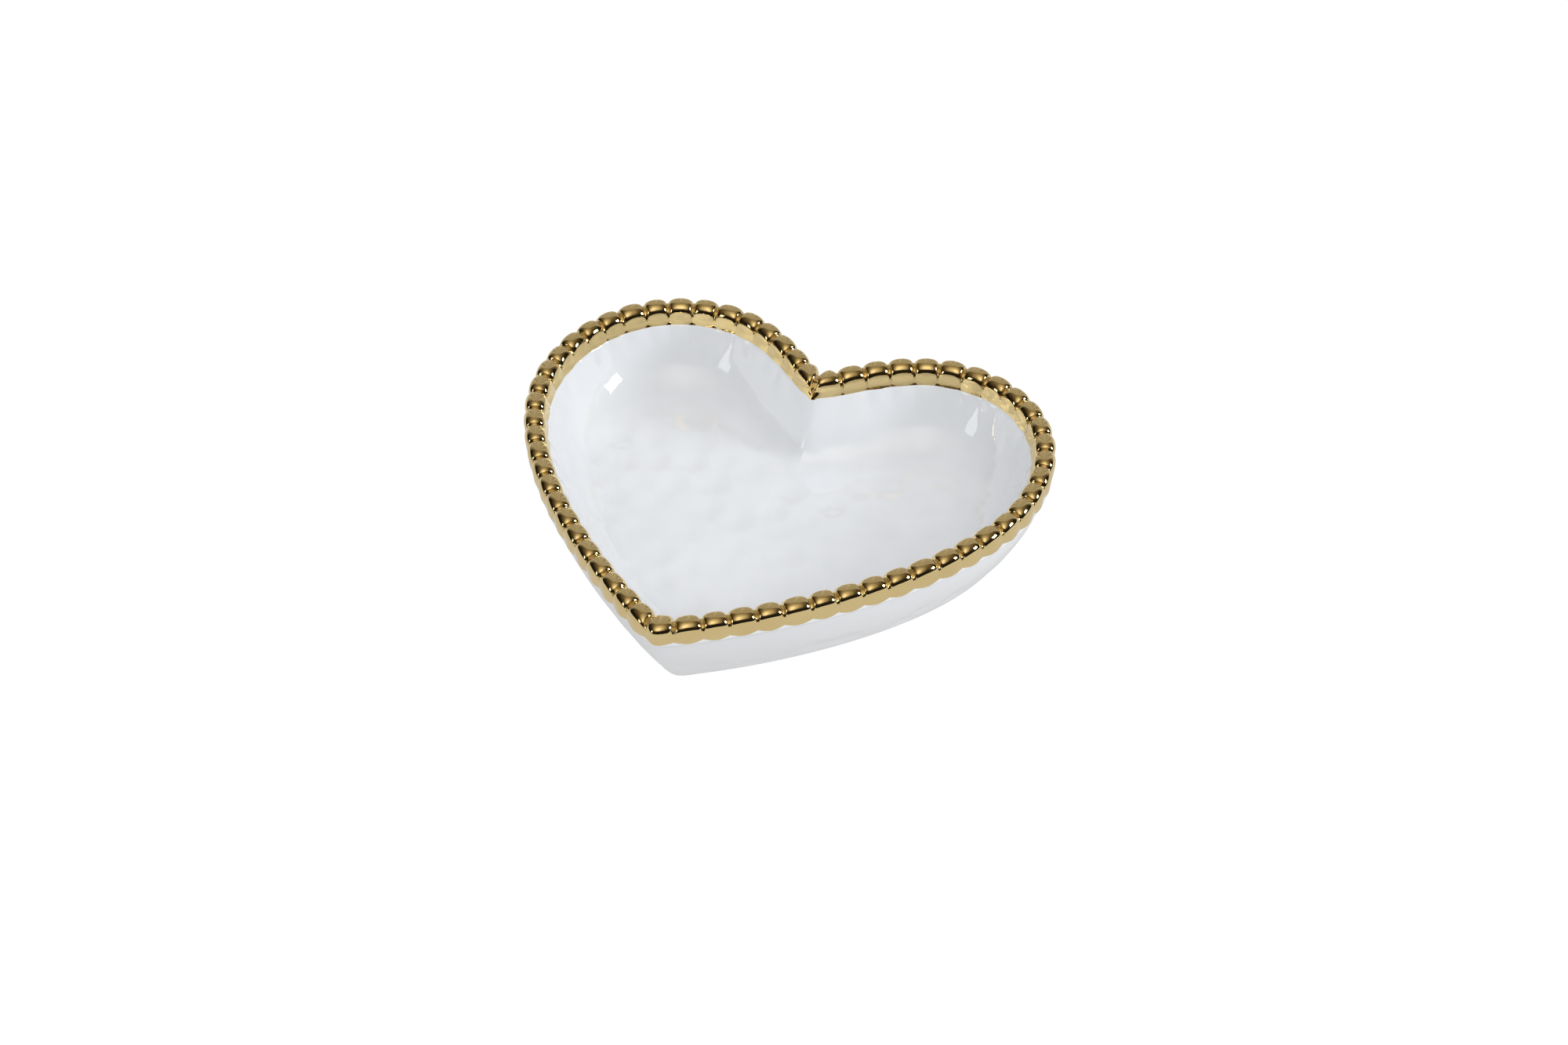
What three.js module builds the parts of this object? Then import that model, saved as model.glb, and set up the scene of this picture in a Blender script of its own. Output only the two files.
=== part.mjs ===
// A heart-shaped trinket dish, open on top: a glazed porcelain bowl that stands on an unglazed foot
// ring and carries a gold collar with a row of pillow-shaped gold beads.
// Millimetres, +Z up, the two lobes towards +Y and the tip towards -Y. The origin is on the table
// that the dish stands on, under the middle of the dish.
import * as THREE from "three";

// The heart: the line through the middle of the beads, seen from above.
const HALF_WIDTH = 73.6; // from the axis to the widest point
const LENGTH = 134; // from the crowns of the lobes to the tip
const WIDEST_Y = 25.5; // where it is widest
const LOBE_X = 36.8; // from the axis to the crown of each lobe
const NOTCH_DEPTH = 21.3; // from the crowns back to the notch between the lobes
const NOTCH_SLOPE = 46.4; // degrees: the line's slope as it leaves the notch
const TIP_SLOPE = 31; // degrees: the line's slope as it leaves the tip
// How far each curve's handle reaches from the point that it shapes.
const HANDLE = {
  notch: 14,
  crownInside: 13.7,
  crownOutside: 20.5,
  widestAbove: 25.6,
  widestBelow: 37,
  tip: 33.3,
};

// Heights above the table.
const FOOT_HEIGHT = 1.2;
const FLOOR_Z = 6.8;
const WALL_TOP_Z = 23.6;
const BEAD_BOTTOM_Z = 26.3;
const BEAD_TOP_Z = 30.6;
const NECK_TOP_Z = 29.2;

// Offsets from the line: + is away from the middle of the dish, - is towards it.
const WALL_TOP_OUTSIDE = 2.1;
const WALL_TOP_INSIDE = -4.1;
const WALL_BASE_OUTSIDE = -8.7;
const WALL_BASE_INSIDE = -11.6;
const WALL_BELLY = 1.2; // how far the outside bulges from a straight line
const FLOOR_EDGE = -19; // where the floor starts to curve up into the wall
const BAND_TOP_OUTSIDE = 2.5;
const BAND_TOP_INSIDE = -3.3;
const BASE_FLAT = -11.4; // where the rounded lower edge reaches the foot ring
const FOOT_WIDTH = 5;
const FOOT_CHAMFER = 0.4;

// Shares of the wall's height, from the bottom.
const FLOOR_CURVE = 0.35; // how far up the inside the floor's curve reaches
const EDGE_CURVE = 0.1; // how far up the outside the rounded lower edge reaches

// The beads, one of which is centred on the tip. Between them are necks, lower and thinner.
const BEAD_COUNT = 61;
const BEAD_HALF_THICKNESS = 3.1;
const NECK_HALF_THICKNESS = 2.4;
const BEAD_UNDERCUT = 35; // degrees below level at which a bead's round sides end

const GAP = 0.3; // between pieces that touch

const LOOP_STEPS = 56; // steps along each half of the heart
const BEAD_SIDES = 10;
const TIP_MITRE = 0.6; // 1 is a full mitre on the hollow side of the tip, 0 keeps it as round
const TIP_ROUNDING = 0.22; // how fast the corner at the tip softens as the wall goes inwards
const NOTCH_ROUNDING = 0.1; // the same at the notch

const PORCELAIN = { color: 0xf3f4f6, roughness: 0.1, metalness: 0 };
const BISQUE = { color: 0xe4dfd5, roughness: 0.85, metalness: 0 };
const GOLD = { color: 0xd0a252, roughness: 0.12, metalness: 1 };

const at = (x, y) => new THREE.Vector2(x, y);
const { lerp, smoothstep, degToRad, euclideanModulo } = THREE.MathUtils;

// The right half of the heart's line, from the notch round the lobe to the tip.
function rightHalf() {
  const notch = at(0, LENGTH / 2 - NOTCH_DEPTH);
  const crown = at(LOBE_X, LENGTH / 2);
  const widest = at(HALF_WIDTH, WIDEST_Y);
  const tip = at(0, -LENGTH / 2);
  const handle = (from, length, degrees) =>
    at(length, 0).rotateAround(at(0, 0), degToRad(degrees)).add(from);
  const line = new THREE.CurvePath();
  line.add(
    new THREE.CubicBezierCurve(
      notch,
      handle(notch, HANDLE.notch, NOTCH_SLOPE),
      handle(crown, HANDLE.crownInside, 180),
      crown,
    ),
  );
  line.add(
    new THREE.CubicBezierCurve(
      crown,
      handle(crown, HANDLE.crownOutside, 0),
      handle(widest, HANDLE.widestAbove, 90),
      widest,
    ),
  );
  line.add(
    new THREE.CubicBezierCurve(
      widest,
      handle(widest, HANDLE.widestBelow, -90),
      handle(tip, HANDLE.tip, TIP_SLOPE),
      tip,
    ),
  );
  return line;
}

const HALF = rightHalf();
const HALF_LENGTH = HALF.getLength();
const BEAD_PITCH = (2 * HALF_LENGTH) / BEAD_COUNT;

// The point at a distance round the heart from the notch, at an offset from its line. At the notch
// and the tip the two halves meet on the axis: in a mitre on the hollow side of the corner, and in a
// round on its other side. Further inwards both corners are softened too.
function heartPoint(round, offset, z) {
  const place = euclideanModulo(round, 2 * HALF_LENGTH);
  const side = place > HALF_LENGTH ? -1 : 1;
  const distance = Math.min(place, 2 * HALF_LENGTH - place);
  const point = HALF.getPoint(distance / HALF_LENGTH);
  const along = HALF.getTangent(distance / HALF_LENGTH);
  const nearNotch = distance < HALF_LENGTH / 2;
  const reach = 4 + 1.6 * Math.abs(offset);
  const toCorner = nearNotch ? distance : HALF_LENGTH - distance;
  const slide = Math.tan(degToRad(nearNotch ? NOTCH_SLOPE : TIP_SLOPE));
  const direction = at(-along.y, along.x).addScaledVector(
    along,
    slide * (1 - smoothstep(toCorner / reach, 0, 1)),
  );
  const hollowSide = nearNotch ? offset > 0 : offset < 0;
  const mitre = hollowSide ? (nearNotch ? 1 : TIP_MITRE) : 0;
  direction.setLength(lerp(1, direction.length(), mitre));
  point.addScaledVector(direction, offset);
  const x = Math.max(point.x, 0);
  const softness = Math.max(-offset, 0) * (nearNotch ? NOTCH_ROUNDING : TIP_ROUNDING);
  const lift = slide * (Math.hypot(x, softness) - x);
  return new THREE.Vector3(side * x, point.y + lift, z);
}

// One closed ring round the whole heart, with its points closer together at the notch and the tip.
function heartRing({ x: offset, y: z }) {
  const ring = [];
  for (let step = 0; step < 2 * LOOP_STEPS; step++) {
    const share = step / LOOP_STEPS;
    const crowded = share - Math.sin(2 * Math.PI * share) / 12;
    ring.push(heartPoint(crowded * HALF_LENGTH, offset, z));
  }
  return ring;
}

// A closed surface through the rings in turn. Either the last ring joins the first, or each end is
// filled by a fan round its middle.
function loft(rings, joined) {
  const size = rings[0].length;
  const points = rings.flat();
  const faces = [];
  const bands = joined ? rings.length : rings.length - 1;
  for (let band = 0; band < bands; band++) {
    const lower = band * size;
    const upper = ((band + 1) % rings.length) * size;
    for (let i = 0; i < size; i++) {
      const next = (i + 1) % size;
      faces.push(lower + i, upper + next, upper + i);
      faces.push(lower + i, lower + next, upper + next);
    }
  }
  if (!joined) {
    const last = (rings.length - 1) * size;
    const first = points.push(middle(rings[0])) - 1;
    const second = points.push(middle(rings.at(-1))) - 1;
    for (let i = 0; i < size; i++) {
      const next = (i + 1) % size;
      faces.push(first, next, i);
      faces.push(second, last + i, last + next);
    }
  }
  const geometry = new THREE.BufferGeometry().setFromPoints(points);
  geometry.setIndex(faces);
  geometry.computeVertexNormals();
  return geometry;
}

function middle(ring) {
  const sum = new THREE.Vector3();
  ring.forEach((point) => sum.add(point));
  return sum.divideScalar(ring.length);
}

function piece(name, geometry, finish) {
  const mesh = new THREE.Mesh(geometry, new THREE.MeshStandardMaterial(finish));
  mesh.name = name;
  return mesh;
}

const bend = (start, corner, end, steps) =>
  new THREE.QuadraticBezierCurve(start, corner, end).getPoints(steps);

// The bowl: from the middle of the floor out, up the inside of the wall, over its flat top, down the
// bulging outside, round the lower edge and into the recess that holds the foot ring.
function dishBody() {
  const inside = at(WALL_TOP_INSIDE, WALL_TOP_Z);
  const outside = at(WALL_TOP_OUTSIDE, WALL_TOP_Z);
  const insideCorner = at(WALL_BASE_INSIDE, FLOOR_Z);
  const outsideCorner = at(WALL_BASE_OUTSIDE, GAP);
  const filletTop = insideCorner.clone().lerp(inside, FLOOR_CURVE);
  const edgeTop = outsideCorner.clone().lerp(outside, EDGE_CURVE);
  const belly = outside.clone().add(edgeTop).multiplyScalar(0.5).add(at(2 * WALL_BELLY, 0));
  const profile = [
    ...bend(at(FLOOR_EDGE, FLOOR_Z), insideCorner, filletTop, 6),
    inside,
    ...bend(outside, belly, edgeTop, 5),
    ...bend(edgeTop, outsideCorner, at(BASE_FLAT, GAP), 3).slice(1),
    at(BASE_FLAT, FOOT_HEIGHT + GAP),
  ];
  return piece("dish_body", loft(profile.map(heartRing), false), PORCELAIN);
}

function footRing() {
  const outside = BASE_FLAT - GAP;
  const inside = outside - FOOT_WIDTH;
  const profile = [
    at(outside, FOOT_HEIGHT),
    at(outside, FOOT_CHAMFER),
    at(outside - FOOT_CHAMFER, 0),
    at(inside + FOOT_CHAMFER, 0),
    at(inside, FOOT_CHAMFER),
    at(inside, FOOT_HEIGHT),
  ];
  return piece("foot_ring", loft(profile.map(heartRing), true), BISQUE);
}

function rimBand() {
  const bottom = WALL_TOP_Z + GAP;
  const top = BEAD_BOTTOM_Z - GAP;
  const profile = [
    at(WALL_TOP_INSIDE, bottom),
    at(BAND_TOP_INSIDE, top),
    at(BAND_TOP_OUTSIDE, top),
    at(WALL_TOP_OUTSIDE, bottom),
  ];
  return piece("rim_band", loft(profile.map(heartRing), true), GOLD);
}

// A bead's cross-section: round on top and at its sides, and flat underneath where it meets the
// collar. Fullness runs from 0 at a neck between two beads to 1 at a bead's middle.
function beadRing(round, fullness) {
  const halfThickness = lerp(NECK_HALF_THICKNESS, BEAD_HALF_THICKNESS, fullness);
  const top = lerp(NECK_TOP_Z, BEAD_TOP_Z, fullness);
  const radius = (top - BEAD_BOTTOM_Z) / (1 + Math.sin(degToRad(BEAD_UNDERCUT)));
  const ring = [];
  for (let side = 0; side < BEAD_SIDES; side++) {
    const sweep = (180 + 2 * BEAD_UNDERCUT) / (BEAD_SIDES - 1);
    const angle = degToRad(side * sweep - BEAD_UNDERCUT);
    const offset = halfThickness * Math.cos(angle);
    ring.push(heartPoint(round, offset, top - radius + radius * Math.sin(angle)));
  }
  return ring;
}

// Beads first to last, counted round the heart from the notch, as one string joined at the necks.
function beads(name, first, last) {
  const swelling = [
    { share: 0.1, fullness: 0.7 },
    { share: 0.28, fullness: 0.97 },
    { share: 0.72, fullness: 0.97 },
    { share: 0.9, fullness: 0.7 },
  ];
  const rings = [beadRing(first * BEAD_PITCH + GAP / 2, 0)];
  for (let bead = first; bead <= last; bead++) {
    for (const { share, fullness } of swelling) {
      rings.push(beadRing((bead + share) * BEAD_PITCH, fullness));
    }
    const neck = (bead + 1) * BEAD_PITCH;
    rings.push(beadRing(bead === last ? neck - GAP / 2 : neck, 0));
  }
  return piece(name, loft(rings, false), GOLD);
}

const dish = new THREE.Group();
dish.add(
  dishBody(),
  footRing(),
  rimBand(),
  beads("notch_beads", -1, 0),
  beads("right_lobe_beads", 1, 13),
  beads("right_side_beads", 14, 29),
  beads("tip_bead", 30, 30),
  beads("left_side_beads", 31, 46),
  beads("left_lobe_beads", 47, 59),
);

export default dish;
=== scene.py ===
import math

import bpy
import numpy as np
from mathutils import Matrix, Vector


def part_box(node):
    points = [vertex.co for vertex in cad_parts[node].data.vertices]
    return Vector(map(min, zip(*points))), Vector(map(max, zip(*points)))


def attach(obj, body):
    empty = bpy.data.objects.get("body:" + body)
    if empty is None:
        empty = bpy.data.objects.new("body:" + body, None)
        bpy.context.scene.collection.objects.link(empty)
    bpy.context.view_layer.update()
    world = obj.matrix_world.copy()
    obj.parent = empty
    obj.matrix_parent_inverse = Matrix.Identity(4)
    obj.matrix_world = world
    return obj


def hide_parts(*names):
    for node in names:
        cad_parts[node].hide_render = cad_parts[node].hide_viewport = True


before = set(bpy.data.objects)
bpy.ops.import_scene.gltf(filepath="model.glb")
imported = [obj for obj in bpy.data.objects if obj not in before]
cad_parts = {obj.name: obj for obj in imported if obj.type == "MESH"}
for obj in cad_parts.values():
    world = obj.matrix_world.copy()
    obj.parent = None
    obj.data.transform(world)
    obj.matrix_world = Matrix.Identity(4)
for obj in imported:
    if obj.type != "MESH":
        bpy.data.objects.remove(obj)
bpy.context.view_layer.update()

MM = 0.001
RANDOM = np.random.default_rng(61)

BEAD_STRINGS = {
    "notch_beads": (-1, 0),
    "right_lobe_beads": (1, 13),
    "right_side_beads": (14, 29),
    "tip_bead": (30, 30),
    "left_side_beads": (31, 46),
    "left_lobe_beads": (47, 59),
}  # first and last bead of each string, counted round the heart from the notch
BEAD_COUNT = 61
BEAD_HALF = 3.1  # half a bead's thickness across the rim


def node_mm(node):
    """A CAD node's lowest and highest corners, in millimetres."""
    low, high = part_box(node)
    return np.array(low) / MM, np.array(high) / MM


# ---------------------------------------------------------------- the heart's line

HALF_WIDTH = node_mm("right_side_beads")[1][0] - BEAD_HALF
CROWN_Y = node_mm("right_lobe_beads")[1][1] - BEAD_HALF
TIP_Y = node_mm("tip_bead")[0][1] + BEAD_HALF
LENGTH = CROWN_Y - TIP_Y
NOTCH_DEPTH = 0.159 * LENGTH  # from the crowns of the lobes back to the notch
WIDEST_Y = 0.19 * LENGTH
NOTCH_SLOPE = math.radians(46.4)
TIP_SLOPE = math.radians(31)

NOTCH = np.array([0, CROWN_Y - NOTCH_DEPTH])
CROWN = np.array([HALF_WIDTH / 2, CROWN_Y])
WIDEST = np.array([HALF_WIDTH, WIDEST_Y])
TIP = np.array([0, TIP_Y])

# How far the curves' handles reach, as shares of HALF_WIDTH.
NOTCH_HANDLE = 0.19
CROWN_INNER_HANDLE = 0.186
CROWN_OUTER_HANDLE = 0.279
WIDEST_UPPER_HANDLE = 0.348
WIDEST_LOWER_HANDLE = 0.503
TIP_HANDLE = 0.452
CURVE_STEPS = 600


def handle(start, reach, angle):
    """The handle of a curve that leaves or reaches a point at an angle from the +X side."""
    return start + reach * HALF_WIDTH * np.array([math.cos(angle), math.sin(angle)])


def bezier(a, b, c, d):
    """Points of a curve from a to d, with its handles at b and c."""
    t = np.linspace(0, 1, CURVE_STEPS)[:, None]
    return (1 - t) ** 3 * a + 3 * (1 - t) ** 2 * t * b + 3 * (1 - t) * t**2 * c + t**3 * d


def right_half():
    """The middle line of the beads, from the notch round the right lobe to the tip."""
    up, left, right, down = math.pi / 2, math.pi, 0, -math.pi / 2
    lobe = bezier(NOTCH, handle(NOTCH, NOTCH_HANDLE, NOTCH_SLOPE),
                  handle(CROWN, CROWN_INNER_HANDLE, left), CROWN)
    shoulder = bezier(CROWN, handle(CROWN, CROWN_OUTER_HANDLE, right),
                      handle(WIDEST, WIDEST_UPPER_HANDLE, up), WIDEST)
    side = bezier(WIDEST, handle(WIDEST, WIDEST_LOWER_HANDLE, down),
                  handle(TIP, TIP_HANDLE, TIP_SLOPE), TIP)
    return np.vstack([lobe, shoulder[1:], side[1:]])


LINE = right_half()
LINE_AT = np.concatenate([[0], np.cumsum(np.hypot(*np.diff(LINE, axis=0).T))])
LINE_WAY = np.gradient(LINE, LINE_AT, axis=0)
LINE_WAY /= np.linalg.norm(LINE_WAY, axis=1)[:, None]
HALF_LENGTH = LINE_AT[-1]
PITCH = 2 * HALF_LENGTH / BEAD_COUNT

# How an offset from the line turns the corners at the notch and the tip.
MITRE_REACH = 4  # how far from a corner its mitre is felt
MITRE_SPREAD = 1.6  # how much further for each millimetre of offset
TIP_MITRE = 0.6  # 1 is a full mitre on the hollow side of the tip, 0 keeps it as round as the line
TIP_SOFTNESS = 1.5  # how round the tip's corner is on the line
TIP_ROUNDING = 0.22  # how fast it gets rounder inwards
NOTCH_ROUNDING = 0.3  # the same for the notch, which is sharp on the line
SOFT_REACH = 10  # how far from a corner its softening is full
SOFT_FADE = 40  # and over what length beyond that it ends


def fade(value):
    """1 at 0, falling smoothly to 0 at 1."""
    t = np.clip(value, 0, 1)
    return 1 - t * t * (3 - 2 * t)


def on_line(values, distance):
    """Values given along the heart's line, at distances along it."""
    return np.stack([np.interp(distance, LINE_AT, values[:, i]) for i in (0, 1)], -1)


def mitred_way_out(distance, to_corner, near_notch, slide, offset):
    """The way out from the line, turned towards the notch or the tip so that both sides meet there."""
    way = on_line(LINE_WAY, distance)
    out = np.stack([-way[..., 1], way[..., 0]], -1)
    reach = MITRE_REACH + MITRE_SPREAD * np.abs(offset)
    direction = out + way * (slide * fade(to_corner / reach))[..., None]
    length = np.linalg.norm(direction, axis=-1)
    hollow = np.where(near_notch, offset > 0, offset < 0)
    mitre = np.where(hollow, np.where(near_notch, 1.0, TIP_MITRE), 0.0)
    return direction * ((1 + (length - 1) * mitre) / length)[..., None]


def heart_points(round_mm, offset, z):
    """Points at distances round the heart from the notch, at offsets from its line (+ outwards)."""
    round_mm, offset, z = np.broadcast_arrays(round_mm, offset, z)
    place = np.mod(round_mm, 2 * HALF_LENGTH)
    side = np.where(place > HALF_LENGTH, -1.0, 1.0)
    distance = np.minimum(place, 2 * HALF_LENGTH - place)
    near_notch = distance < HALF_LENGTH / 2
    to_corner = np.where(near_notch, distance, HALF_LENGTH - distance)
    slide = np.where(near_notch, math.tan(NOTCH_SLOPE), math.tan(TIP_SLOPE))
    way_out = mitred_way_out(distance, to_corner, near_notch, slide, offset)
    point = on_line(LINE, distance) + way_out * offset[..., None]
    x = np.maximum(point[..., 0], 0)
    inwards = np.maximum(-offset, 0)
    softness = np.where(near_notch, NOTCH_ROUNDING * inwards, TIP_SOFTNESS + TIP_ROUNDING * inwards)
    soft_share = fade((to_corner - SOFT_REACH) / SOFT_FADE)
    lift = slide * (np.hypot(x, softness) - x) * soft_share
    return np.stack([side * x, point[..., 1] + lift, z], -1)


# ---------------------------------------------------------------- meshes

def smooth_line(points, steps):
    """A smooth line of (offset, z) points through a few given ones."""
    points = np.array(points, float)
    at = np.concatenate([[0], np.cumsum(np.hypot(*np.diff(points, axis=0).T))])
    slope = np.gradient(points, at, axis=0)
    want = np.linspace(0, at[-1], steps)
    i = np.clip(np.searchsorted(at, want, "right") - 1, 0, len(at) - 2)
    span = (at[i + 1] - at[i])[:, None]
    t = (want[:, None] - at[i][:, None]) / span
    start, end = points[i], points[i + 1]
    m0, m1 = slope[i] * span, slope[i + 1] * span
    a = (2 * t**3 - 3 * t**2 + 1) * start + (t**3 - 2 * t**2 + t) * m0
    b = (3 * t**2 - 2 * t**3) * end + (t**3 - t**2) * m1
    return a + b


def grid_normals(grid):
    """A normal at each point of a grid that is closed along its first axis."""
    along = np.roll(grid, -1, axis=0) - np.roll(grid, 1, axis=0)
    across = np.gradient(grid, axis=1)
    normal = np.cross(across, along)
    return normal / np.maximum(np.linalg.norm(normal, axis=-1, keepdims=True), 1e-9)


def add_object(name, points_mm, faces, material):
    """A smooth-shaded object of one material, from points in millimetres."""
    mesh = bpy.data.meshes.new(name)
    mesh.from_pydata((points_mm * MM).tolist(), [], faces)
    mesh.validate()
    mesh.shade_smooth()
    mesh.materials.append(material)
    piece = bpy.data.objects.new(name, mesh)
    bpy.context.scene.collection.objects.link(piece)
    return piece


def give_normals(piece, normals, smooth_faces):
    """Corners of the first smooth_faces faces take their point's own normal, and the rest stay flat."""
    mesh = piece.data
    corner_normals = np.zeros((len(mesh.loops), 3))
    corner_points = np.zeros(len(mesh.loops), int)
    mesh.loops.foreach_get("vertex_index", corner_points)
    corner_normals[:] = normals[corner_points]
    for face in mesh.polygons[smooth_faces:]:
        corner_normals[face.loop_start:face.loop_start + face.loop_total] = face.normal
    mesh.normals_split_custom_set(corner_normals.tolist())


def strip_faces(rows, columns, wrap_rows=False, wrap_columns=False, columns_used=None):
    """Quads between neighbouring points of a grid stored row by row."""
    used = range(columns if wrap_columns else columns - 1) if columns_used is None else columns_used
    faces = []
    for row in range(rows if wrap_rows else rows - 1):
        here, there = row * columns, (row + 1) % rows * columns
        for column in used:
            beside = (column + 1) % columns
            faces.append((here + column, here + beside, there + beside, there + column))
    return faces


# ---------------------------------------------------------------- the gold rim

RIM_TOP = node_mm("right_lobe_beads")[1][2]
GAP = 0.3  # between the CAD nodes of the bowl and the gold
GOLD_EDGE = node_mm("dish_body")[1][2] + GAP  # about where the gold ends and the bare glaze starts
ACROSS = 52  # points across the rim, from its outer edge over the top to its inner edge
ALONG = 30  # points along each bead

# Cross-sections of the rim as (offset, depth below the rim's top), from outside to inside: through
# the middle of a bead, through the neck between two beads, and through the deep valley between the two
# beads at the notch.
BELLY_SECTION = [
    (2.72, 6.75), (2.79, 6.1), (2.87, 5.3), (2.95, 4.5), (3.05, 3.5), (3.06, 2.75), (2.85, 1.88),
    (2.45, 1.2), (1.85, 0.61), (1.0, 0.17), (0, 0), (-1.0, 0.17), (-1.85, 0.61), (-2.45, 1.2),
    (-2.88, 1.88), (-3.15, 2.75), (-3.3, 3.6), (-3.45, 4.7), (-3.65, 5.6), (-3.92, 6.5),
]
NECK_SECTION = [
    (2.36, 6.0), (2.42, 5.5), (2.5, 5.0), (2.53, 4.4), (2.5, 3.9), (2.3, 3.3), (1.95, 2.75),
    (1.5, 2.3), (1.0, 2.0), (0.5, 1.85), (0, 1.8), (-0.5, 1.85), (-1.0, 2.0), (-1.5, 2.3),
    (-2.0, 2.75), (-2.4, 3.3), (-2.75, 3.9), (-3.05, 4.7), (-3.3, 5.6), (-3.68, 6.5),
]
NOTCH_SECTION = [
    (2.4, 6.0), (2.5, 5.5), (2.6, 4.9), (2.7, 4.3), (2.7, 3.6), (2.55, 2.9), (2.3, 2.2),
    (1.9, 1.65), (1.4, 1.3), (0.9, 1.2), (0.4, 1.3), (0, 1.7), (-0.3, 2.3), (-0.5, 2.9),
    (-0.7, 3.6), (-1.0, 4.3), (-1.6, 4.9), (-2.5, 5.4), (-3.3, 5.8), (-3.9, 6.5),
]
NECK_DEPTH = 1.8  # how far the top of a neck is below the top of a bead
COLLAR = 0.4  # how far the thin ring in each neck stands up from it
COLLAR_SHARE = 0.035  # half its width, as a share of a bead's length
BARREL_SHARE = 0.915  # how much of a bead's length is thicker than its necks
BARREL_POWER = 2.25  # how square its ends are
NOTCH_BARREL_SHARE = 0.8  # the same share for the ends at the notch, which stay clear of each other
NOTCH_REACH = 0.6 * PITCH  # how far from the notch its valley is felt
TIP_BEAD = BEAD_STRINGS["tip_bead"][0]
SWELL = {TIP_BEAD: 0.2, 0: 0.14, BEAD_COUNT - 1: 0.14}  # how much thicker these beads are, as a share
BEAD_BOTTOM = 4.2  # the depth at which the beads have quite given way to the plain band
BEAD_BLEND = 1.6  # over how much height they do so
FLARE_HEIGHT = 1.3  # how high the spreading inner edge of the gold is
FLUTE_POWER = 0.75  # how wide the valleys between the soft flutes under the beads are
NOTCH_FLUTE_POWER = 4.0  # the same at the notch, where the valley is widest
SCALLOP_POWER = 0.7  # how round the scallops of the gold's lower edges are
END_CROWDING = 0.6  # how much closer together the grid's points are at a bead's ends
BAND_OUTSIDE = 11  # columns of the grid below the beads, outside
BAND_INSIDE = 12  # and inside

# The dish is made by hand, so its beads vary a little: in size and length, in the height of the rings
# in their necks, and in how far the gold's inner edge spreads under them.
BEAD_SIZES = (0.92, 1.0)
COLLAR_SIZES = (0.4, 1.0)
FLARES = (-0.06, 0.12)
EDGE_SHIFT = 0.035 * PITCH

# Where each bead begins, counted round the heart. The last bead, on the left of the notch, is the longest.
FIRST_BEAD = PITCH
LAST_BEAD = 1.2 * PITCH
BEAD_EDGES = np.linspace(FIRST_BEAD, 2 * HALF_LENGTH - LAST_BEAD, BEAD_COUNT - 1)
BEAD_EDGES += RANDOM.uniform(-1, 1, BEAD_COUNT - 1) * EDGE_SHIFT
BEAD_EDGES = np.concatenate([[0], BEAD_EDGES, [2 * HALF_LENGTH]])


def bead_shares():
    """Places along a bead, as shares of its length, closer together at its ends."""
    share = np.arange(ALONG) / ALONG
    return share - END_CROWDING * np.sin(2 * math.pi * share) / (2 * math.pi)


def flute_fullness(share, power):
    """0 under a neck and 1 under a bead's middle, with a soft valley between, wider for a higher power."""
    return (0.5 - 0.5 * np.cos(2 * math.pi * share)) ** power


def bead_fullness(shares, at_notch, size, collar_sizes):
    """How far the top rises along a bead, from 0 in a bare neck to 1, with the rings in its two necks."""
    middle_way = np.abs(2 * shares - 1) / np.where(at_notch, NOTCH_BARREL_SHARE, BARREL_SHARE)
    barrel = np.sqrt(np.clip(1 - middle_way ** BARREL_POWER, 0, 1)) * size
    start_collar = np.exp(-((shares / COLLAR_SHARE) ** 2)) * collar_sizes[0]
    end_collar = np.exp(-(((1 - shares) / COLLAR_SHARE) ** 2)) * collar_sizes[1]
    return np.maximum(barrel, COLLAR / NECK_DEPTH * (start_collar + end_collar))


def band_fullness(shares, at_notch):
    """The same below a bead: for offsets, which make flutes, and for depths, which make scallops."""
    flute = flute_fullness(shares, np.where(at_notch, NOTCH_FLUTE_POWER, FLUTE_POWER))
    return np.stack([flute, np.sin(math.pi * shares) ** SCALLOP_POWER], -1)


def rim_grid():
    """The whole gold surface: a row for each place round the rim, a column for each place across."""
    belly = smooth_line(BELLY_SECTION, ACROSS)
    plain_neck = smooth_line(NECK_SECTION, ACROSS)
    notch_neck = smooth_line(NOTCH_SECTION, ACROSS)
    on_top = fade((belly[:, 1] - BEAD_BOTTOM + BEAD_BLEND) / BEAD_BLEND)[:, None]
    inner_edge = np.where(belly[:, 0] < 0, fade((belly[-1, 1] - belly[:, 1]) / FLARE_HEIGHT), 0)
    size = RANDOM.uniform(*BEAD_SIZES, BEAD_COUNT)
    collar_size = RANDOM.uniform(*COLLAR_SIZES, BEAD_COUNT + 1)
    collar_size[[0, -1]] = 0
    flare = RANDOM.uniform(*FLARES, BEAD_COUNT)
    shares = bead_shares()
    rows = []
    for bead in range(BEAD_COUNT):
        place = BEAD_EDGES[bead] + shares * (BEAD_EDGES[bead + 1] - BEAD_EDGES[bead])
        at_notch = np.where(shares < 0.5, bead == 0, bead == BEAD_COUNT - 1)
        top = bead_fullness(shares, at_notch, size[bead], collar_size[bead:bead + 2])
        band = band_fullness(shares, at_notch)
        full = band[:, None] * (1 - on_top) + top[:, None, None] * on_top
        to_notch = np.minimum(place, 2 * HALF_LENGTH - place)[:, None, None]
        neck = plain_neck + (notch_neck - plain_neck) * fade(to_notch / NOTCH_REACH)
        section = neck + (belly - neck) * full
        section[..., 0] *= 1 + SWELL.get(bead, 0) * top[:, None] * on_top[:, 0]
        section[..., 0] -= flare[bead] * band[:, :1] * inner_edge
        z = RIM_TOP - section[..., 1]
        rows.append(heart_points(place[:, None], section[..., 0], z))
    return np.vstack(rows)


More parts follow.
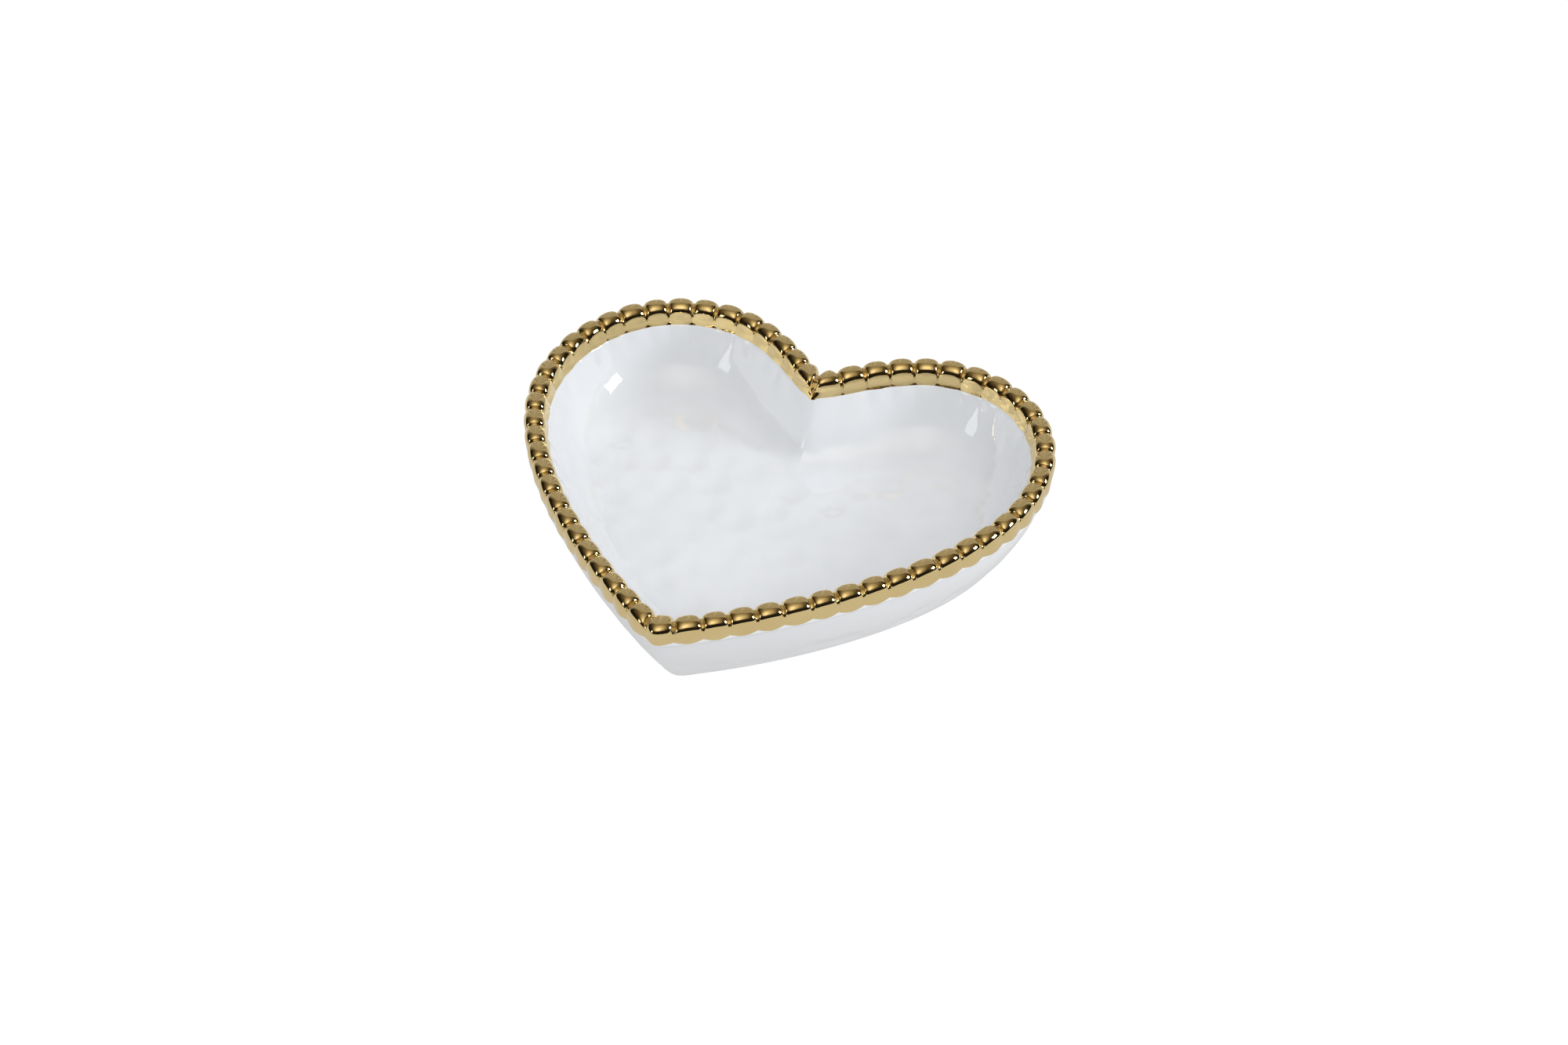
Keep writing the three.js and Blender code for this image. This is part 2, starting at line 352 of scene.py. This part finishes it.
def bead_string(name, grid, normals, first, last, material):
    """One string of beads, closed underneath and at its two ends."""
    rows = np.arange(first * ALONG, (last + 1) * ALONG + 1) % len(grid)
    columns = np.arange(BAND_OUTSIDE, ACROSS - BAND_INSIDE)
    points = grid[np.ix_(rows, columns)]
    count, width = points.shape[:2]
    faces = strip_faces(count, width)
    smooth = len(faces)
    faces += strip_faces(count, width, columns_used=[width - 1], wrap_columns=True)
    faces.append(tuple(range(width))[::-1])
    faces.append(tuple((count - 1) * width + i for i in range(width)))
    piece = add_object(name, points.reshape(-1, 3), faces, material)
    give_normals(piece, normals[np.ix_(rows, columns)].reshape(-1, 3), smooth)
    return piece


def gold_band(grid, normals, material):
    """The plain collar under the beads: its outer and inner faces, joined through the wall."""
    columns = np.r_[0:BAND_OUTSIDE + 1, ACROSS - BAND_INSIDE - 1:ACROSS]
    points = grid[:, columns]
    rows, width = points.shape[:2]
    hidden = [BAND_OUTSIDE, width - 1]
    seen = [column for column in range(width) if column not in hidden]
    faces = strip_faces(rows, width, wrap_rows=True, wrap_columns=True, columns_used=seen)
    smooth = len(faces)
    faces += strip_faces(rows, width, wrap_rows=True, wrap_columns=True, columns_used=hidden)
    piece = add_object("gold_band", points.reshape(-1, 3), faces, material)
    give_normals(piece, normals[:, columns].reshape(-1, 3), smooth)
    return piece


# ---------------------------------------------------------------- the porcelain

FOOT_TOP = node_mm("foot_ring")[1][2]
FLOOR_Z = 6.8
FLOOR_EDGE = -22  # the offset at which the floor starts to curve up into the wall
FLOOR_CURVE = 0.7  # how far up the inside that curve reaches
EDGE_CURVE = 0.1  # how far up the outside the rounded lower edge reaches
WALL_BELLY = 2.4  # how far the outside's curve is pulled out from a straight line
BASE_Z = 0.3  # the rounded lower edge's height where it reaches the foot
BASE_FLAT = -11.4  # and its offset there
FOOT_OUTSIDE = -11.75
FOOT_INSIDE = -16.7
FOOT_ROUNDING = 0.35
ROUND_STEPS = 336  # points along each half of the heart
CORNER_CROWDING = 12  # the points are closer together at the corners, but less so for a higher number
FLOOR_RINGS = 46
UNDER_RINGS = 12
MIDDLE_Y = 0.04 * LENGTH  # where the rings of the floor shrink to
FLUTE_DEPTH = 0.36
INSIDE_FLUTES = (GOLD_EDGE - 0.5, 7.0)  # where the flutes start to fade, and how far below they end
OUTSIDE_FLUTES = (GOLD_EDGE + 0.6, 1.8)
OUTSIDE_OFFSET = -0.5  # greater offsets are outside, and where the outside gets to it, flutes have ended
DIMPLE_CANDIDATES = 6000
DIMPLE_SPACING = 8.0
DIMPLE_RADIUS = 6.2
DIMPLE_DEPTH = 0.58
SHALLOWEST = 0.3  # the shallowest dimple's depth, as a share of the deepest's
WALL_DIMPLES = 0.2  # how deep the walls' dimples are, next to the floor's
DIMPLE_FADE = 4  # over how much height the dimples fade out, below the gold and above the foot
DIMPLE_FOOT = 2  # the height below which there are none
WALL_START = 0.5  # how far above the floor its dimples start to give way to the walls'
WALL_FADE = 5  # and over how much height


def quadratic(start, corner, end, steps):
    """Points of a curve from start to end that heads for the corner and turns off before it."""
    t = np.linspace(0, 1, steps)[:, None]
    start, corner, end = (np.array(p, float) for p in (start, corner, end))
    return (1 - t) ** 2 * start + 2 * (1 - t) * t * corner + t**2 * end


def dish_profile():
    """The bowl's cross-section as (offset, z), from the floor's edge over the wall to the foot."""
    inside = np.array([-4.0, GOLD_EDGE + 0.2])
    outside = np.array([1.75, GOLD_EDGE - 1.15])
    inside_corner = np.array([-11.6, FLOOR_Z])
    outside_corner = np.array([-8.7, BASE_Z])
    fillet_top = inside_corner + FLOOR_CURVE * (inside - inside_corner)
    edge_top = outside_corner + EDGE_CURVE * (outside - outside_corner)
    belly = (outside + edge_top) / 2 + [WALL_BELLY, 0]
    under_gold = [[-3.5, GOLD_EDGE + 0.6], [-1.5, GOLD_EDGE + 0.9], [2.3, GOLD_EDGE + 1.9]]
    lip = smooth_line([(2.66, GOLD_EDGE + 1.8), (2.72, GOLD_EDGE + 1.2), (2.68, GOLD_EDGE + 0.4),
                       (2.62, GOLD_EDGE - 0.2), (2.45, GOLD_EDGE - 0.7), (2.0, GOLD_EDGE - 1.0)], 16)
    straight = fillet_top + (inside - fillet_top) * np.linspace(0, 1, 9)[1:, None]
    return np.vstack([
        quadratic((FLOOR_EDGE, FLOOR_Z), inside_corner, fillet_top, 26),
        straight,
        under_gold,
        lip,
        quadratic(outside, belly, edge_top, 26),
        quadratic(edge_top, outside_corner, (BASE_FLAT, BASE_Z), 9)[1:],
        [[-11.5, FOOT_TOP + 0.2], [-17.5, FOOT_TOP + 0.25]],
    ])


def round_places():
    """Places round the heart, closer together at the notch and the tip."""
    share = np.arange(2 * ROUND_STEPS) / ROUND_STEPS
    return (share - np.sin(2 * math.pi * share) / CORNER_CROWDING) * HALF_LENGTH


def shrinking(ring, steps):
    """Rings between one ring and its middle, without either, and that middle."""
    centre = np.array([0, MIDDLE_Y, ring[0, 2]])
    shares = np.arange(1, steps) / steps
    return [centre + (ring - centre) * (1 - share) for share in shares], centre


def flutes(places, z, fade_start, fade_height):
    """How far the wall bulges under each bead, fading out below the gold."""
    bead = np.clip(np.searchsorted(BEAD_EDGES, places, "right") - 1, 0, BEAD_COUNT - 1)
    share = (places - BEAD_EDGES[bead]) / (BEAD_EDGES[bead + 1] - BEAD_EDGES[bead])
    return FLUTE_DEPTH * (flute_fullness(share, FLUTE_POWER) - 1) * fade((fade_start - z) / fade_height)


def porcelain_points():
    """The bowl as rings from the floor's middle over the rim to the underside's, and both middles."""
    places = round_places()
    rings = []
    for offset, z in dish_profile():
        if offset > OUTSIDE_OFFSET:
            bulge = flutes(places, z, *OUTSIDE_FLUTES)
        else:
            bulge = -flutes(places, z, *INSIDE_FLUTES)
        rings.append(heart_points(places, offset + bulge, z))
    floor, floor_middle = shrinking(rings[0], FLOOR_RINGS)
    under, under_middle = shrinking(rings[-1], UNDER_RINGS)
    return np.stack(floor[::-1] + rings + under), floor_middle, under_middle


def dimple_depths(points, spots, depths):
    """How deep the hand-pressed dimples are at each point."""
    total = np.zeros(len(points))
    for spot, depth in zip(spots, depths):
        squared = ((points - spot) ** 2).sum(1) / DIMPLE_RADIUS**2
        total += depth * np.clip(1 - squared, 0, None) ** 2
    return total


def scattered(points, spacing):
    """Points of a surface in random order, none closer than spacing to one taken before it."""
    taken = []
    for point in points[RANDOM.permutation(len(points))[:DIMPLE_CANDIDATES]]:
        if all(((point - other) ** 2).sum() > spacing**2 for other in taken):
            taken.append(point)
    return np.array(taken)


def dimpled(points, normals):
    """The same points, pressed in by dimples that fade out towards the gold and the foot."""
    spots = scattered(points, DIMPLE_SPACING)
    depths = DIMPLE_DEPTH * RANDOM.uniform(SHALLOWEST, 1.0, len(spots))
    z = points[:, 2]
    below_gold = fade((z - GOLD_EDGE + DIMPLE_FADE) / DIMPLE_FADE)
    above_foot = 1 - fade((z - DIMPLE_FOOT) / DIMPLE_FADE)
    on_wall = 1 - (1 - WALL_DIMPLES) * (1 - fade((z - FLOOR_Z - WALL_START) / WALL_FADE))
    press = dimple_depths(points, spots, depths) * below_gold * above_foot * on_wall
    return points - normals * press[:, None]


def porcelain_dish(material):
    """The glazed bowl, closed in the middle of its floor and of its underside."""
    grid, floor_middle, under_middle = porcelain_points()
    count, width = grid.shape[:2]
    flat = grid.reshape(-1, 3)
    faces = strip_faces(count, width, wrap_columns=True)
    points = np.vstack([flat, floor_middle, under_middle])
    last = (count - 1) * width
    for i in range(width):
        beside = (i + 1) % width
        faces.append((len(flat), beside, i))
        faces.append((len(flat) + 1, last + i, last + beside))
    piece = add_object("porcelain_dish", points, faces, material)
    normals = np.array([tuple(n.vector) for n in piece.data.vertex_normals])
    piece.data.vertices.foreach_set("co", (dimpled(points, normals) * MM).ravel())
    piece.data.update()
    return piece


def unglazed_foot(material):
    """The wiped ring of bare porcelain, with softened edges."""
    outside, inside, top, edge = FOOT_OUTSIDE, FOOT_INSIDE, FOOT_TOP + 0.1, FOOT_ROUNDING
    profile = np.vstack([
        [[outside, top]],
        quadratic((outside, edge), (outside, 0), (outside - edge, 0), 6),
        np.linspace((outside - edge, 0), (inside + edge, 0), 12)[1:-1],
        quadratic((inside + edge, 0), (inside, 0), (inside, edge), 6),
        [[inside, top]],
    ])
    places = round_places()[::2]
    grid = np.stack([heart_points(places, offset, z) for offset, z in profile])
    faces = strip_faces(len(grid), len(places), wrap_rows=True, wrap_columns=True)
    return add_object("unglazed_foot", grid.reshape(-1, 3), faces, material)


# ---------------------------------------------------------------- materials

BUMP_HEIGHT = 0.0002  # metres


def new_material(name):
    """A material, its node tree and shader, and the place on the object, in metres, as a socket."""
    material = bpy.data.materials.new(name)
    material.use_nodes = True
    tree = material.node_tree
    shader = tree.nodes["Principled BSDF"]
    coordinates = tree.nodes.new("ShaderNodeTexCoord")
    return material, tree, shader, coordinates.outputs["Object"]


def noise(tree, place, scale, detail=3.0, roughness=0.5):
    """A soft random pattern, from 0 to 1."""
    node = tree.nodes.new("ShaderNodeTexNoise")
    node.inputs["Scale"].default_value = scale
    node.inputs["Detail"].default_value = detail
    node.inputs["Roughness"].default_value = roughness
    tree.links.new(place, node.inputs["Vector"])
    return node.outputs["Fac"]


def ramp(tree, value, stops):
    """A colour for each value, from (value, colour) stops."""
    node = tree.nodes.new("ShaderNodeValToRGB")
    elements = node.color_ramp.elements
    while len(elements) < len(stops):
        elements.new(0.5)
    for element, (position, colour) in zip(elements, stops):
        element.position = position
        element.color = (*colour, 1)
    tree.links.new(value, node.inputs["Fac"])
    return node.outputs["Color"]


def bump(tree, height, strength, shader):
    """Faint unevenness of the surface."""
    node = tree.nodes.new("ShaderNodeBump")
    node.inputs["Distance"].default_value = BUMP_HEIGHT
    node.inputs["Strength"].default_value = strength
    tree.links.new(height, node.inputs["Height"])
    tree.links.new(node.outputs["Normal"], shader.inputs["Normal"])


def glazed_porcelain():
    """White body under a clear, glossy, slightly uneven glaze."""
    material, tree, shader, place = new_material("glazed_porcelain")
    clouds = noise(tree, place, 28.0, 4.0)
    colour = ramp(tree, clouds, [(0.3, (0.812, 0.823, 0.842)), (0.7, (0.852, 0.862, 0.879))])
    tree.links.new(colour, shader.inputs["Base Color"])
    polish = ramp(tree, noise(tree, place, 60.0), [(0.3, (0.02,) * 3), (0.7, (0.05,) * 3)])
    tree.links.new(polish, shader.inputs["Roughness"])
    shader.inputs["IOR"].default_value = 1.52
    shader.inputs["Coat Weight"].default_value = 0.5
    shader.inputs["Coat Roughness"].default_value = 0.015
    bump(tree, noise(tree, place, 140.0, 2.0), 0.12, shader)
    return material


def bare_porcelain():
    """Matt, slightly gritty body where the glaze was wiped off."""
    material, tree, shader, place = new_material("bare_porcelain")
    grain = noise(tree, place, 900.0, 6.0, 0.7)
    colour = ramp(tree, grain, [(0.35, (0.62, 0.58, 0.52)), (0.65, (0.76, 0.73, 0.67))])
    tree.links.new(colour, shader.inputs["Base Color"])
    shader.inputs["Roughness"].default_value = 0.85
    bump(tree, grain, 0.5, shader)
    return material


def fired_gold():
    """Mirror-bright gold over a glaze that is never quite even."""
    material, tree, shader, place = new_material("fired_gold")
    clouds = noise(tree, place, 90.0, 4.0)
    colour = ramp(tree, clouds, [(0.3, (0.83, 0.635, 0.30)), (0.7, (0.88, 0.685, 0.335))])
    tree.links.new(colour, shader.inputs["Base Color"])
    shader.inputs["Metallic"].default_value = 1.0
    polish = ramp(tree, noise(tree, place, 300.0, 5.0), [(0.35, (0.04,) * 3), (0.7, (0.1,) * 3)])
    tree.links.new(polish, shader.inputs["Roughness"])
    bump(tree, noise(tree, place, 420.0, 3.0, 0.55), 0.1, shader)
    return material


# ---------------------------------------------------------------- the object

def dress(piece, slot, *nodes):
    """Tie a piece to its body and hide the CAD nodes that it stands for. The slot is not used."""
    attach(piece, "root")
    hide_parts(*nodes)


def build_dish():
    """All nine pieces, one for each CAD node."""
    gold = fired_gold()
    grid = rim_grid()
    normals = grid_normals(grid)
    for name, (first, last) in BEAD_STRINGS.items():
        string = bead_string("gold_" + name, grid, normals, first, last, gold)
        dress(string, "gold_plating", name)
    dress(gold_band(grid, normals, gold), "gold_plating", "rim_band")
    dress(porcelain_dish(glazed_porcelain()), "white_glaze", "dish_body")
    dress(unglazed_foot(bare_porcelain()), "bare_porcelain", "foot_ring")


# ---------------------------------------------------------------- floor, light and camera

MIRRORED_GLOW = 0.58  # the white sheet's brightness in the dish's reflections
FLOOR_GLOW = 0.69  # and as a lamp
FLOOR_HALF = 6000.0  # half its width
TENT_BACK = 200  # the azimuth of the middle of the tent's paler cloth
TENT_LAMP = (20, 50)  # the azimuth and elevation of the glow over its front
LAMP_DISTANCE = 1.3  # metres
LAMP_TARGET = Vector((0, 0, 0.02))  # metres
LAMP_COLOUR = (0.94, 0.975, 1)
CAMERA_TARGET = Vector((0, 0.0133, 0.0293))  # metres


def pale_floor():
    """A white sheet that the camera sees as pure white, but that is less bright as a lamp."""
    material, tree, shader, _ = new_material("pale_floor")
    shader.inputs["Base Color"].default_value = (0.06, 0.06, 0.06, 1)
    shader.inputs["Roughness"].default_value = 0.9
    shader.inputs["Emission Color"].default_value = (1, 1, 1, 1)
    ray = tree.nodes.new("ShaderNodeLightPath").outputs
    strength = calculate(tree, "MULTIPLY_ADD", ray["Is Glossy Ray"], MIRRORED_GLOW - FLOOR_GLOW, FLOOR_GLOW)
    strength = calculate(tree, "MULTIPLY_ADD", ray["Is Camera Ray"], 1 - FLOOR_GLOW, strength)
    tree.links.new(strength, shader.inputs["Emission Strength"])
    corners = FLOOR_HALF * np.array([(-1, -1, 0), (1, -1, 0), (1, 1, 0), (-1, 1, 0)])
    add_object("pale_floor", corners, [(0, 1, 2, 3)], material)


def aim(thing, place, target):
    """Put a lamp or camera at a place, looking at a target."""
    thing.location = place
    thing.rotation_euler = (target - place).to_track_quat("-Z", "Y").to_euler()


def towards(azimuth, elevation):
    """A direction of length 1. Azimuth 0 is the -Y side, 90 the +X side."""
    a, e = math.radians(azimuth), math.radians(elevation)
    return Vector((math.sin(a) * math.cos(e), -math.cos(a) * math.cos(e), math.sin(e)))


def softbox(name, azimuth, elevation, width, height, brightness):
    """A rectangular softbox. Its width and height are angles, as seen from the dish."""
    light = bpy.data.lights.new(name, "AREA")
    light.shape = "RECTANGLE"
    light.size = 2 * LAMP_DISTANCE * math.tan(math.radians(width / 2))
    light.size_y = 2 * LAMP_DISTANCE * math.tan(math.radians(height / 2))
    light.energy = brightness * light.size * light.size_y * math.pi
    light.color = LAMP_COLOUR
    lamp = bpy.data.objects.new(name, light)
    bpy.context.scene.collection.objects.link(lamp)
    aim(lamp, LAMP_TARGET + towards(azimuth, elevation) * LAMP_DISTANCE, LAMP_TARGET)
    return lamp


def calculate(tree, operation, *values):
    """A math node. Its inputs are numbers or sockets."""
    node = tree.nodes.new("ShaderNodeMath")
    node.operation = operation
    for socket, value in zip(node.inputs, values):
        if isinstance(value, (int, float)):
            socket.default_value = value
        else:
            tree.links.new(value, socket)
    return node.outputs["Value"]


def mix(tree, blend, factor, first, second):
    """A colour mix node."""
    node = tree.nodes.new("ShaderNodeMix")
    node.data_type = "RGBA"
    node.blend_type = blend
    sockets = {socket.identifier: socket for socket in node.inputs}
    if isinstance(factor, float):
        sockets["Factor_Float"].default_value = factor
    else:
        tree.links.new(factor, sockets["Factor_Float"])
    tree.links.new(first, sockets["A_Color"])
    tree.links.new(second, sockets["B_Color"])
    return next(socket for socket in node.outputs if socket.identifier == "Result_Color")


def dot(tree, vector, way):
    """How much a vector socket points a fixed way."""
    node = tree.nodes.new("ShaderNodeVectorMath")
    node.operation = "DOT_PRODUCT"
    tree.links.new(vector, node.inputs[0])
    node.inputs[1].default_value = way
    return node.outputs["Value"]


def level_direction(tree, x, y):
    """The compass direction, whatever the height."""
    flat = tree.nodes.new("ShaderNodeCombineXYZ")
    tree.links.new(x, flat.inputs["X"])
    tree.links.new(y, flat.inputs["Y"])
    unit = tree.nodes.new("ShaderNodeVectorMath")
    unit.operation = "NORMALIZE"
    tree.links.new(flat.outputs["Vector"], unit.inputs[0])
    return unit.outputs["Vector"]


def tent_back(tree, level, z):
    """The cloth behind the dish, in soft folds, and how much of it is seen in each direction."""
    cloth = ramp(tree, z, [(0.0, (0.47, 0.45, 0.42)), (1.0, (0.43, 0.41, 0.37))])
    folds = ramp(tree, noise(tree, level, 8.0, 2.0), [
        (0.36, (0.68,) * 3), (0.5, (0.84,) * 3), (0.62, (1.2,) * 3),
    ])
    across = calculate(tree, "MULTIPLY_ADD", dot(tree, level, towards(TENT_BACK, 0)), 0.5, 0.5)
    in_width = ramp(tree, across, [(0.74, (0,) * 3), (0.84, (1,) * 3)])
    in_height = ramp(tree, z, [(0.955, (1,) * 3), (0.98, (0,) * 3)])
    return mix(tree, "MULTIPLY", 1.0, cloth, folds), mix(tree, "MULTIPLY", 1.0, in_width, in_height)


def tent_top(tree, direction, z):
    """The glow of the lamp over the tent's front, cut off by the lower edge of its panel."""
    glow = ramp(tree, dot(tree, direction, towards(*TENT_LAMP)), [
        (0.7, (0,) * 3), (0.88, (0.3, 0.27, 0.2)), (0.955, (0.66, 0.6, 0.5)), (0.995, (1.15, 1.07, 0.93)),
    ])
    panel = ramp(tree, z, [(0.53, (0,) * 3), (0.58, (1,) * 3)])
    return mix(tree, "MULTIPLY", 1.0, glow, panel)


def studio_tent():
    """A cloth tent: dark low in front, a paler sweep behind, and brightest at the top.

    Only mirrored light shows the tent's folds. Matt surfaces get its even, soft light.
    """
    world = bpy.data.worlds.new("studio_tent")
    bpy.context.scene.world = world
    world.use_nodes = True
    tree = world.node_tree
    direction = tree.nodes.new("ShaderNodeTexCoord").outputs["Generated"]
    split = tree.nodes.new("ShaderNodeSeparateXYZ")
    tree.links.new(direction, split.inputs["Vector"])
    x, y, z = (split.outputs[axis] for axis in "XYZ")
    front = ramp(tree, z, [
        (0.0, (0.008,) * 3), (0.34, (0.012,) * 3), (0.5, (0.05, 0.037, 0.02)), (0.7, (0.11, 0.085, 0.05)),
        (1.0, (0.28, 0.235, 0.16)),
    ])
    back, back_share = tent_back(tree, level_direction(tree, x, y), z)
    walls = mix(tree, "MIX", back_share, front, back)
    tent = mix(tree, "ADD", 1.0, walls, tent_top(tree, direction, z))
    soft = ramp(tree, z, [(0.0, (0.36, 0.365, 0.373)), (1.0, (0.86, 0.868, 0.885))])
    mirrored = tree.nodes.new("ShaderNodeLightPath").outputs["Is Glossy Ray"]
    tree.links.new(mix(tree, "MIX", mirrored, soft, tent), tree.nodes["Background"].inputs["Color"])


def studio_lights():
    """The tent, two softboxes that the glaze and the gold mirror, and a soft lamp that they don't."""
    studio_tent()
    softbox("right_softbox", azimuth=105, elevation=22, width=15, height=12.5, brightness=17.0)
    softbox("front_left_softbox", azimuth=-38, elevation=16, width=14, height=16, brightness=2.5)
    soft_key = softbox("soft_key", azimuth=42, elevation=52, width=60, height=60, brightness=0.78)
    soft_key.visible_glossy = False


def camera():
    """A 74 mm lens, 0.9 m away, above the tip and to its right."""
    data = bpy.data.cameras.new("camera")
    data.lens = 73.8
    data.sensor_width = 36
    data.shift_x = 0.0078
    data.shift_y = -0.0484
    data.clip_start = 0.01
    thing = bpy.data.objects.new("camera", data)
    bpy.context.scene.collection.objects.link(thing)
    distance = 0.898
    aim(thing, CAMERA_TARGET + towards(azimuth=22.47, elevation=39.58) * distance, CAMERA_TARGET)
    bpy.context.scene.camera = thing


build_dish()
pale_floor()
studio_lights()
camera()
bpy.context.scene.view_settings.view_transform = "Standard"
